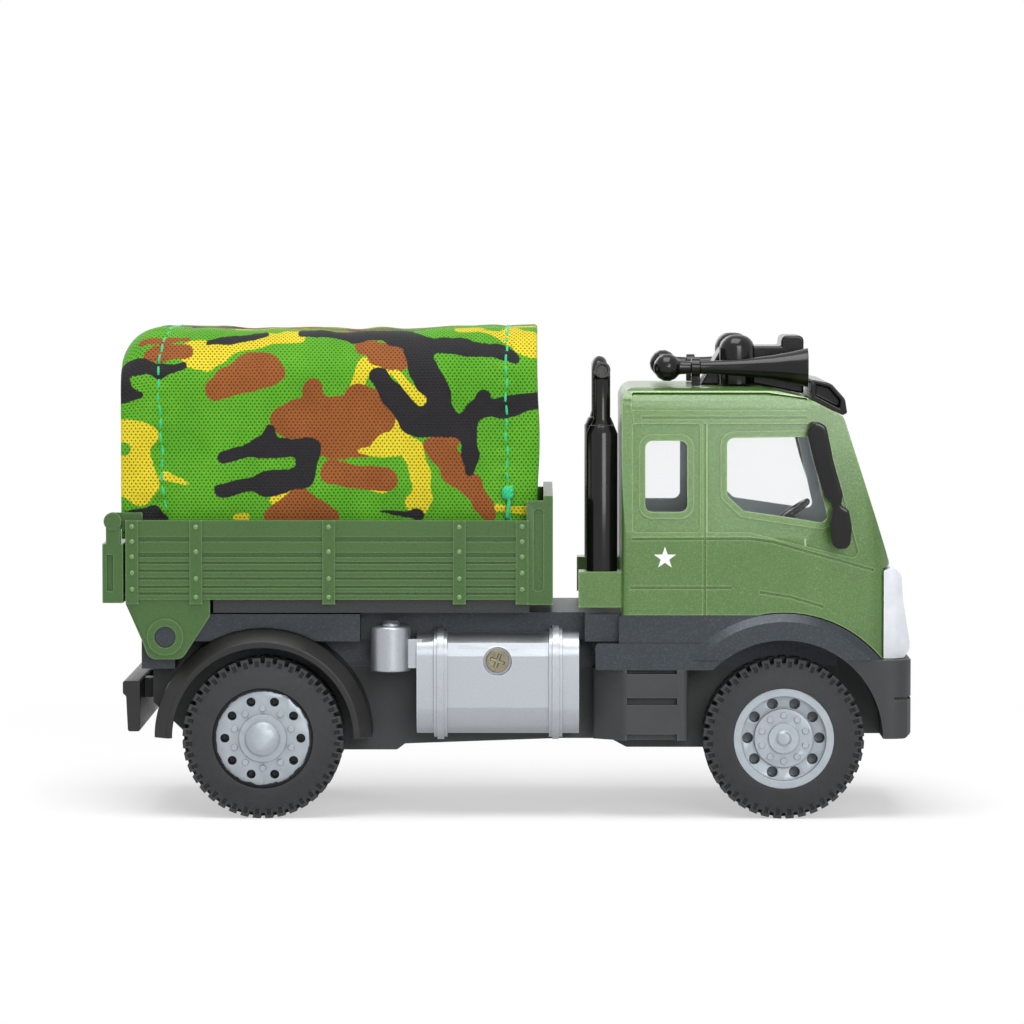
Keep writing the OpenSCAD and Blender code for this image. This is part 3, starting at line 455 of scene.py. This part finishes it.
def notchTyre(piece, spec, hubX, side):  # a small notch in the outer shoulder of each lug
    size = (spec["outer"] - spec["inner"], spec["clear"] - spec["floor"], spec["wide"])
    place = ((spec["outer"] + spec["inner"]) / 2, side * (spec["clear"] + spec["floor"]) / 2, 0.0)
    block = Matrix.Translation(Vector(place) * mm) @ Matrix.Diagonal(Vector(size) * mm).to_4x4()
    hub = Matrix.Translation(Vector((hubX, 0.0, spec["axle"])) * mm)
    work = bmesh.new()
    for i in range(spec["lugs"]):
        turn = Matrix.Rotation((i + 0.5) * math.tau / spec["lugs"], 4, "Y")
        bmesh.ops.create_cube(work, size=1.0, matrix=hub @ turn @ block)
    mesh = bpy.data.meshes.new("notches")
    work.to_mesh(mesh)
    work.free()
    cutter = bpy.data.objects.new("notches", mesh)
    bpy.context.scene.collection.objects.link(cutter)
    modify(piece, "notches", "BOOLEAN", operation="DIFFERENCE", solver="EXACT", object=cutter)
    shaped = piece.evaluated_get(bpy.context.evaluated_depsgraph_get())
    whole = bpy.data.meshes.new_from_object(shaped)
    whole.name = piece.name
    piece.modifiers.clear()
    piece.data = whole
    bpy.data.objects.remove(cutter)
    bpy.data.meshes.remove(mesh)


special = {
    "rear_fender_left": fenderBlack, "rear_fender_right": fenderBlack, "rear_bumper": fenderBlack,
    "tank_screws": screwPlating(),
}
rearHub = {"x": tread["rear"], "z": tread["axle"], "radius": 8.3}  # bare of paint outside the radius
for side in ("left", "right"):
    special["rear_rim_" + side] = rimPaint("rearRimPaint_" + side, rearHub)
for node in slotOf:
    if node != "canopy":
        piece = castCopy(node, special.get(node))
        if "_tyre_" in node:
            notchTyre(piece, tread, tread[node.split("_")[0]], 1 if node.endswith("left") else -1)
print("solids dressed")


# canopy: one woven sheet over the hoops, hemmed round them and sewn

sheetSpec = {
    "rear": -69.4, "front": 4.7, "half": 25.2, "low": 50.0, "top": 87.9, "corner": 10.0, "hood": 7.0,
    "step": 0.55, "thick": 0.35, "seams": (-62.4, -0.8),
    "hem": 0.75,  # how far inside the outer cloth the turned hem lies
    "rearRows": 12, "bendRows": 5, "frontRows": 9,  # rows of points in the hems and in their bends
}
photo = {"mmPerPixel": 0.178, "column": 509.5, "row": 821.0}  # the picture's scale and origin

# painted in this order: strokes of (x1, y1, x2, y2, half width, end half width), in the picture's pixels
camouflage = {
    "yellow": [
        (190, 350, 215, 353, 12), (215, 350, 262, 338, 6), (262, 337, 297, 335, 6),
        (190, 360, 205, 365, 8), (124, 428, 148, 436, 9), (132, 440, 138, 470, 14),
        (128, 470, 145, 485, 12), (124, 490, 140, 498, 10), (164, 477, 188, 486, 4, 1),
        (273, 501, 297, 488, 4), (236, 521, 244, 519, 5), (355, 388, 365, 360, 6),
        (365, 365, 392, 370, 5), (362, 446, 392, 430, 10), (388, 423, 389, 424, 7),
        (392, 435, 412, 450, 10), (412, 450, 420, 475, 9), (420, 475, 422, 498, 9),
        (412, 505, 418, 508, 8), (365, 484, 382, 490, 5), (457, 327, 500, 333, 3),
        (510, 335, 533, 340, 8), (520, 345, 534, 350, 8), (497, 509, 529, 512, 5),
    ],
    "bite": [  # green again inside the yellow
        (121, 449, 122, 450, 6), (153, 456, 154, 457, 5),
    ],
    "brown": [
        (139, 340, 186, 338, 3), (148, 354, 184, 351, 7), (213, 390, 265, 375, 11),
        (245, 363, 272, 371, 12), (225, 378, 265, 365, 12), (283, 420, 330, 425, 14),
        (311, 388, 315, 420, 9), (300, 420, 375, 415, 20), (355, 395, 372, 400, 10),
        (320, 440, 360, 445, 15), (380, 415, 383, 425, 8), (299, 497, 270, 518, 8),
        (299, 500, 320, 515, 12), (280, 518, 330, 518, 8), (330, 475, 385, 480, 12),
        (362, 345, 395, 350, 8), (375, 355, 398, 362, 9), (430, 446, 453, 440, 8),
        (440, 455, 455, 465, 12), (450, 475, 470, 485, 11), (470, 488, 484, 505, 9),
        (480, 505, 490, 516, 7),
    ],
    "black": [
        (123, 359, 141, 364, 6), (141, 364, 158, 371, 5.3), (158, 371, 181, 366, 4.4),
        (120, 368, 121, 394, 5), (121, 394, 139, 395, 2.5), (121, 387, 130, 393, 3.5),
        (222, 458, 257, 449, 7.4), (257, 449, 308, 449, 8), (269, 430, 264, 445, 4, 8),
        (308, 451, 302, 479, 9.7), (219, 491, 264, 482, 6.7), (264, 482, 302, 479, 9.7),
        (264, 489, 281, 486, 8), (126, 520, 150, 514, 8), (150, 514, 160, 522, 6),
        (206, 342, 264, 332, 3), (299, 331, 355, 331, 3.3), (355, 332, 393, 333, 6),
        (393, 333, 416, 341, 10), (416, 343, 466, 346, 7.5), (466, 347, 504, 351, 6.6),
        (504, 351, 514, 358, 5), (416, 350, 423, 370, 12), (423, 370, 434, 396, 13),
        (434, 396, 438, 416, 14), (416, 424, 441, 423, 14), (378, 376, 393, 396, 9),
        (393, 396, 409, 418, 12), (441, 424, 466, 431, 10), (466, 424, 484, 396, 6.6),
        (474, 413, 504, 408, 9), (504, 408, 534, 400, 9), (467, 433, 470, 455, 8),
        (470, 455, 469, 472, 5), (380, 512, 406, 515, 3), (416, 516, 417, 517, 6),
    ],
    "slot": [  # yellow again inside the black
        (395, 374, 420, 401, 5), (360, 452, 398, 451, 5), (376, 445, 388, 436, 4),
    ],
}


def onSide(column, row):  # where a pixel lies on the near side, in millimetres
    return (column - photo["column"]) * photo["mmPerPixel"], (photo["row"] - row) * photo["mmPerPixel"]


def strokeField(strokes, x, z):  # how far inside the nearest stroke each point lies, in millimetres
    blend = 0.55  # neighbouring strokes run together over about this length
    heap = np.zeros(x.shape)
    for x1, y1, x2, y2, r, *end in strokes:
        (ax, az), (bx, bz) = onSide(x1, y1), onSide(x2, y2)
        along = ((x - ax) * (bx - ax) + (z - az) * (bz - az)) / ((bx - ax) ** 2 + (bz - az) ** 2)
        along = np.clip(along, 0, 1)
        width = (r + ((end[0] if end else r) - r) * along) * photo["mmPerPixel"]
        inside = width - np.hypot(x - ax - along * (bx - ax), z - az - along * (bz - az))
        heap += np.exp(np.clip(inside / blend, -60, 12))
    return blend * np.log(heap + 1e-12)


weave = {"along": 0.76, "round": 1.10}  # millimetres from hole to hole along a row, and over two rows
dyes = {  # dark and light
    "green": ((62, 142, 14), (100, 176, 36)), "yellow": ((200, 178, 20), (228, 212, 48)),
    "brown": ((124, 66, 24), (160, 92, 40)), "black": ((20, 18, 22), (38, 35, 40)),
}
dyeOf = {"bite": "green", "slot": "yellow"}  # strokes that aren't named after their dye


def clothFinish():
    f = Finish("camouflageCloth")
    ragged = 0.3 * (f.noise(0.9, 3.0) - 0.5) + 1.7 * (f.noise(5.5, 2.0) - 0.5)
    shade = f.noise(7.0, 3.0)
    tones = {dye: f.mix(shade, paint(*dark), paint(*light)) for dye, (dark, light) in dyes.items()}
    color = tones["green"]
    for name in camouflage:
        field = f.node("Attribute", {"attribute_name": name}, out="Fac")
        color = f.mix((field + ragged).step(-0.09, 0.09), color, tones[dyeOf.get(name, name)])
    wobble = 0.5 * (f.noise(2.2, 2.0) - 0.5)
    warp, weft = [f.node("Attribute", {"attribute_name": name}, out="Fac") * (math.pi / pitch) + wobble
                  for name, pitch in weave.items()]
    slants = [1.0 - slant.sine().size() for slant in (warp + weft, warp - weft)]
    pin = (slants[0] * slants[1]).step(0.10, 0.50)  # holes in staggered rows
    rib = (weft * 2.0).sine().size()
    # painted shade: the weave's holes and the hollows between thread rows are darkened
    color = f.mix(pin * 0.70 + (1.0 - rib) * 0.12, color, paint(26, 30, 18))
    thread = 0.2 * rib - pin
    f.set(color=color, normal=f.bump(thread, 0.10))
    return f.set(rough=0.78, specular=0.25, sheen=0.04, sheenRough=0.5)


def archPath(spec):  # points round the section, from the near bottom edge over the top to the far one
    half, top, low, r = spec["half"], spec["top"], spec["low"], spec["corner"]
    lengths = [top - r - low, math.pi / 2 * r, 2 * (half - r), math.pi / 2 * r, top - r - low]
    total = sum(lengths)
    count = int(round(total / spec["step"])) + 1
    points = []
    for i in range(count):
        s = total * i / (count - 1)
        for k, length in enumerate(lengths):
            if s <= length or k == len(lengths) - 1:
                break
            s -= length
        a = s / r
        if k == 0:
            p = (-half, low + s, -1, 0)
        elif k == 1:
            p = (-half + r - r * math.cos(a), top - r + r * math.sin(a), -math.cos(a), math.sin(a))
        elif k == 2:
            p = (-half + r + s, top, 0, 1)
        elif k == 3:
            p = (half - r + r * math.sin(a), top - r + r * math.cos(a), math.sin(a), math.cos(a))
        else:
            p = (half, top - r - s, 1, 0)
        points.append(p)
    return np.array(points), total


def bumpAt(x, centre, width):
    return np.exp(-((x - centre) / width) ** 2)


def sheetRows(spec):  # (x, inward, flat place along the cloth) of each row, from hem to hem
    rear, front, hem = spec["rear"], spec["front"], spec["hem"]
    back, fore = spec["seams"]
    bend = np.radians(np.linspace(-90, 90, spec["bendRows"] + 2)[1:-1])
    rows = [(x, hem, x) for x in np.linspace(back, rear + hem, spec["rearRows"])]
    rows += [(rear + hem / 2 * (1 - math.cos(a)), hem / 2 * (1 - math.sin(a)), rear) for a in bend]
    count = int((front - rear) / spec["step"])
    rows += [(x, 0.0, x) for x in np.linspace(rear + hem / 2, front - hem / 2, count)]
    rows += [(front - hem / 2 * (1 - math.cos(a)), hem / 2 * (1 - math.sin(a)), front) for a in bend[::-1]]
    rows += [(x, hem, x) for x in np.linspace(front - hem, fore, spec["frontRows"])]
    return np.array(rows)


folds = {
    "clear": 0.28, "sag": 0.5, "ripple": 0.42,  # inside the section, the roof's sag, the ripples' depth
    "belly": 0.5, "bellyAt": 68.0, "bellySpan": 12.0,  # the sides' hollow between the hoops
    "pucker": 0.38, "puckerWave": 0.20, "puckerSpan": 1.2, "puckerPitch": 3.1,  # along the seams
    "hemWave": 0.35, "hemReach": 9.0,  # along the bottom edge
    "hoodFrom": 66.0, "lip": 0.45, "lipAt": 67.0, "lipSpan": 7.0,  # the rear hood and the front edge
}


def sheetShape(spec, fold, gx, s, inward, arch):  # the cloth's points: section first, then its folds
    rear, front = spec["rear"], spec["front"]
    back, fore = spec["seams"]
    y0, z0, ny, nz = (np.broadcast_to(arch[:, k][None, :], gx.shape) for k in range(4))
    side = np.abs(ny)
    slack = np.sin(np.pi * np.clip((gx - back) / (fore - back), 0, 1))  # 1 midway between the hoops
    ripple = 0.34 * np.sin(0.21 * gx + 0.9 * np.sin(0.11 * z0 + 0.02 * y0))
    ripple += 0.30 * np.sin(0.43 * gx - 0.20 * z0 + 1.0)
    ripple += 0.26 * np.sin(0.62 * gx + 0.5 * np.sin(0.3 * z0))
    ripple += 0.16 * np.sin(0.9 * gx + 0.35 * z0 + 0.13 * y0)
    away = fold["clear"] + fold["sag"] * slack * nz
    away += fold["belly"] * slack * side * bumpAt(z0, fold["bellyAt"], fold["bellySpan"])
    away += fold["ripple"] * (ripple + 0.5) * (0.3 + 0.7 * slack)
    away = np.clip(away, 0.0, None) + inward
    for seam in spec["seams"]:
        depth = fold["pucker"] + fold["puckerWave"] * np.sin(s * 2 * np.pi / fold["puckerPitch"] + seam)
        away = away + bumpAt(gx, seam, fold["puckerSpan"]) * depth
    edge = np.clip(1 - (z0 - spec["low"]) / fold["hemReach"], 0, 1) * side
    away = away + fold["hemWave"] * edge * (1 + np.sin(0.33 * gx))
    hood = spec["hood"]  # the rear edge is turned down over its hoop
    over = np.clip((rear + hood - gx) / hood, 0, 1)
    drop = (hood - inward) * (1 - np.sqrt(np.clip(1 - (over * 0.97) ** 2, 0, 1)))
    lift = np.clip((z0 - fold["hoodFrom"]) / (spec["top"] - fold["hoodFrom"]), 0, 1) ** 2.2
    ahead = np.clip((gx - fore) / (front - fore), 0, 1)  # the front edge bellies
    x = gx + fold["lip"] * bumpAt(z0, fold["lipAt"], fold["lipSpan"]) * ahead * side
    return x, y0 - ny * away, z0 - nz * away - drop * lift, ny, nz


roof = {"from": 4.0, "along": -64.0, "up": 52.0, "scale": 0.92}  # how the strokes lie over the roof


def sheetPattern(spec, gx, s, z0):  # how far inside each layer's strokes every point lies
    total = s[0, -1]
    far = (s > total / 2).astype(float)
    px = gx * (1 - far) + (roof["along"] - gx) * far  # the far side has the pattern turned end for end
    shoulder = spec["top"] - spec["corner"] - spec["low"] + math.pi / 2 * spec["corner"] - roof["from"]
    beyond = np.clip(np.minimum(s, total - s) - shoulder, 0, None)  # how far on to the roof from a side
    layers = {}
    for name, strokes in camouflage.items():
        sides = strokeField(strokes, px, z0) - 0.5 * np.clip(beyond - 3.0, 0, None)
        above = strokeField(strokes, roof["along"] - gx, roof["up"] + roof["scale"] * (s - shoulder))
        layers[name] = np.maximum(sides, above - 0.8 * np.clip(5.0 - beyond, 0, None))
    return layers


def canopySheet(spec):
    arch, total = archPath(spec)
    rows = sheetRows(spec)
    gx, s = np.meshgrid(rows[:, 0], np.linspace(0, total, len(arch)), indexing="ij")
    inward, along = (np.broadcast_to(rows[:, k][:, None], gx.shape) for k in (1, 2))
    x, y, z, ny, nz = sheetShape(spec, folds, gx, s, inward, arch)
    verts = np.stack([x, y, z], axis=-1).reshape(-1, 3) * mm
    n, m = gx.shape
    corners = [i * m + j for i in range(n - 1) for j in range(m - 1)]
    mesh = bpy.data.meshes.new("canopySheet")
    mesh.from_pydata(verts.tolist(), [], [(q, q + m, q + m + 1, q + 1) for q in corners])
    layers = sheetPattern(spec, gx, s, np.broadcast_to(arch[:, 1][None, :], gx.shape))
    for name, values in {**layers, "along": along, "round": s}.items():
        layer = mesh.attributes.new(name, "FLOAT", "POINT")
        layer.data.foreach_set("value", np.ascontiguousarray(values, dtype=np.float32).ravel())
    mesh.shade_smooth()
    piece = newPiece("canopySheet", mesh, "bed", "canopy_cloth", clothFinish())
    modify(piece, "cloth", "SOLIDIFY", thickness=spec["thick"] * mm, offset=0.0)
    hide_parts("canopy")
    back, fore = spec["seams"]
    length = spec["front"] - spec["rear"] + (back - spec["rear"]) + (spec["front"] - fore)
    return piece, (length, total), (x, y, z, s, ny, nz)


canopyPiece, canopyFlat, canopyGrid = canopySheet(sheetSpec)
print("canopy made, flat", canopyFlat)


def ringFaces(base, rings, sides):  # the bands between rings of points
    return [(q + k, q + (k + 1) % sides, q + sides + (k + 1) % sides, q + sides + k)
            for q in range(base, base + (rings - 1) * sides, sides) for k in range(sides)]


def tubeMesh(name, paths, radius, sides=8):
    verts, faces = [], []
    for path in paths:
        base = len(verts)
        points = [Vector(p) for p in path]
        for i, p in enumerate(points):
            ahead = (points[min(i + 1, len(points) - 1)] - points[max(i - 1, 0)]).normalized()
            across = ahead.cross(Vector((1, 0.01, 0.02))).normalized()
            up = ahead.cross(across)
            taper = 0.55 if i in (0, len(points) - 1) else 1.0
            for k in range(sides):
                a = math.tau * k / sides
                verts.append((p + (across * math.cos(a) + up * math.sin(a)) * radius * taper) * mm)
        faces += ringFaces(base, len(points), sides)
        faces.append(tuple(range(base, base + sides))[::-1])
        faces.append(tuple(range(len(verts) - sides, len(verts))))
    mesh = bpy.data.meshes.new(name)
    mesh.from_pydata(verts, [], faces)
    mesh.shade_smooth()
    return mesh


stitch = {
    "pitch": 2.4, "length": 2.2, "radius": 0.25, "lift": 0.22, "sunk": 0.05, "points": 6,
    "heights": (50.0, 53.0, 59.5, 61.8, 69.6, 78.7, 84.5, 86.7),  # where the seams wander
    "wander": (  # and how far forwards, the rear seam and then the front one
        (2.0, 1.8, 0.0, 0.34, 0.0, -0.55, 0.0, 1.2), (0.8, 0.8, 0.4, 0.2, 0.0, 0.0, 0.0, 0.2),
    ),
}


def seamStitches(spec):
    x, y, z, s, ny, nz = canopyGrid
    first = sheetSpec["rearRows"] + sheetSpec["bendRows"]  # the outer layer's rows
    last = x.shape[0] - sheetSpec["frontRows"] - sheetSpec["bendRows"]
    paths = []
    for seam, wander in zip(sheetSpec["seams"], spec["wander"]):
        row = first + int(np.argmin(np.abs(x[first:last, 0] - seam)))
        for i in range(int(s[0, -1] / spec["pitch"])):
            start = (i + 0.15) * spec["pitch"]
            path = []
            for k in range(spec["points"]):
                share = k / (spec["points"] - 1)
                at = start + spec["length"] * share
                out = spec["lift"] * math.sin(math.pi * share) - spec["sunk"]
                p = [np.interp(at, s[row], grid[row]) for grid in (x, y, z, ny, nz)]
                lean = 0.15 * math.sin(i * 2.3 + k * 0.3) + np.interp(p[2], spec["heights"], wander)
                path.append((p[0] + lean, p[1] + p[3] * out, p[2] + p[4] * out))
            paths.append(path)
    mesh = tubeMesh("seamStitches", paths, spec["radius"])
    return newPiece("seamStitches", mesh, "bed", "canopy_cloth", thread)


knot = {
    "x": -0.3, "out": 0.25, "z": 58.4,  # where it hangs on the front seam, out from the cloth's section
    "wide": 0.805, "deep": 0.35, "tall": 0.8625, "end": 5.0, "radius": 0.36,
}


def seamKnot(spec):  # a small ball of thread with a loose end
    centre = Vector((spec["x"], -sheetSpec["half"] - spec["out"], spec["z"]))
    runs = []
    for k in range(3):
        runs.append([(spec["wide"] * math.cos(a), spec["deep"] * math.sin(2 * a + k),
                      spec["tall"] * math.sin(a + k * 1.1)) for a in np.linspace(0, math.tau * 0.97, 15)])
    runs.append([(0.15 * math.sin(t * 5), 0.1 * t, -spec["end"] * t) for t in np.linspace(0, 1, 9)])
    mesh = tubeMesh("seamKnot", [[centre + Vector(p) for p in run] for run in runs], spec["radius"])
    return newPiece("seamKnot", mesh, "bed", "canopy_cloth", thread)


thread = sewingThread()
sewing = [seamStitches(stitch), seamKnot(knot)]
canopyFlat[0] * mm
canopyFlat[1] * mm
print("seams sewn")


# small pieces: rivets on the bed's posts and the star on the doors' panels

rivets = {
    "posts": {-67.4: 5, -56.0: 4, -32.3: 4, -9.0: 4, 2.2: 5},
    "heights": {5: (52.4, 49.7, 47.0, 44.1, 41.2), 4: (52.3, 47.9, 43.1, 39.8)},
    "face": 28.35, "radius": 0.46, "height": 0.26,
}


def domes(name, places, radius, height, sides=12):  # places: (x, y, z, outward y)
    profile = [(1.0, 0.0), (0.92, 0.45), (0.7, 0.8), (0.36, 0.96)]
    verts, faces = [], []
    for x, y, z, out in places:
        base = len(verts)
        for r, h in profile:
            for k in range(sides):
                a = math.tau * k / sides * -out
                wide, tall = radius * r * math.cos(a), radius * r * math.sin(a)
                verts.append(((x + wide) * mm, (y + out * height * h) * mm, (z + tall) * mm))
        verts.append((x * mm, (y + out * height) * mm, z * mm))
        faces += ringFaces(base, len(profile), sides)
        top = base + len(profile) * sides
        faces += [(top - sides + k, top - sides + (k + 1) % sides, top) for k in range(sides)]
    mesh = bpy.data.meshes.new(name)
    mesh.from_pydata(verts, [], faces)
    mesh.shade_smooth()
    return mesh


def postRivets(spec):
    places = [(x, out * spec["face"], z, out) for out in (-1, 1) for x, count in spec["posts"].items()
              for z in spec["heights"][count]]
    mesh = domes("postRivets", places, spec["radius"], spec["height"])
    return newPiece("postRivets", mesh, "bed", "bed_plastic")


star = {"x": 27.7, "z": 46.7, "radius": 2.05, "inner": 0.80, "face": 27.0, "sunk": 0.02, "lift": 0.03}


def doorStars(spec):
    verts, faces = [], []
    for out in (-1, 1):
        base = len(verts)
        for layer in (-spec["sunk"], spec["lift"]):
            for k in range(10):
                r = spec["radius"] if k % 2 == 0 else spec["inner"]
                a = math.radians(90 + 36 * k) * -out
                x = spec["x"] + r * math.cos(a)
                z = spec["z"] + r * math.sin(a) * -out
                verts.append((x * mm, out * (spec["face"] + layer) * mm, z * mm))
        faces.append(tuple(range(base + 10, base + 20)))
        faces += ringFaces(base, 2, 10)
    mesh = bpy.data.meshes.new("doorStars")
    mesh.from_pydata(verts, [], faces)
    work = bmesh.new()
    work.from_mesh(mesh)
    bmesh.ops.recalc_face_normals(work, faces=work.faces)
    work.to_mesh(mesh)
    work.free()
    return newPiece("doorStars", mesh, "chassis", "cab_paint", starWhite())


postRivets(rivets)
doorStars(star)
print("small pieces added")


# stage and light

white = (1.0, 1.0, 1.0, 1.0)
stageSpec = {"reach": 3.0, "clearFrom": 0.10, "clearTo": 0.30, "shadow": 0.5, "fill": 0.34}  # in metres


def whiteStage(spec):
    f = Finish("stageWhite")
    bounce = f.node("BsdfDiffuse", None, {"Color": (0.93, 0.93, 0.93, 1.0)})
    glow = f.node("Emission", None, {"Color": white, "Strength": 1.0})
    x, y, z = f.axes(f.place())
    far = ((x * x + y * y) ** 0.5).step(spec["clearFrom"], spec["clearTo"])
    share = (1.0 - spec["shadow"]) + spec["shadow"] * far
    f.blend(f.seen() * share, bounce, glow)
    mesh = bpy.data.meshes.new("stageFloor")
    r = spec["reach"]
    mesh.from_pydata([(-r, -r, 0), (r, -r, 0), (r, r, 0), (-r, r, 0)], [], [(0, 1, 2, 3)])
    mesh.materials.append(f.material)
    floor = bpy.data.objects.new("stageFloor", mesh)
    bpy.context.scene.collection.objects.link(floor)


def whiteWorld(spec):
    f = Finish("studio", world=True)
    dim, bright = [f.node("Background", None, {"Color": white, "Strength": n}) for n in (spec["fill"], 1.0)]
    bpy.context.scene.world = f.blend(f.seen(), dim, bright)


lamps = {  # name: (place, aim, size, watts)
    "overhead": ((-0.05, -0.20, 0.75), (0.0, 0.0, 0.03), 0.55, 5.0),
    "front": ((0.30, -1.1, 0.42), (0.0, 0.0, 0.05), 0.5, 5.6),
    "rear": ((-0.5, 0.9, 0.5), (0.0, 0.0, 0.04), 0.7, 3.0),
}


def hangLamps():
    for name, (place, aim, size, watts) in lamps.items():
        data = bpy.data.lights.new(name, "AREA")
        data.shape = "SQUARE"
        data.size = size
        data.energy = watts
        lamp = bpy.data.objects.new(name, data)
        lamp.location = place
        lamp.rotation_mode = "QUATERNION"
        lamp.rotation_quaternion = (Vector(aim) - Vector(place)).to_track_quat("-Z", "Y")
        bpy.context.scene.collection.objects.link(lamp)


whiteStage(stageSpec)
whiteWorld(stageSpec)
hangLamps()
bpy.context.scene.view_settings.view_transform = "Standard"
print("stage set")
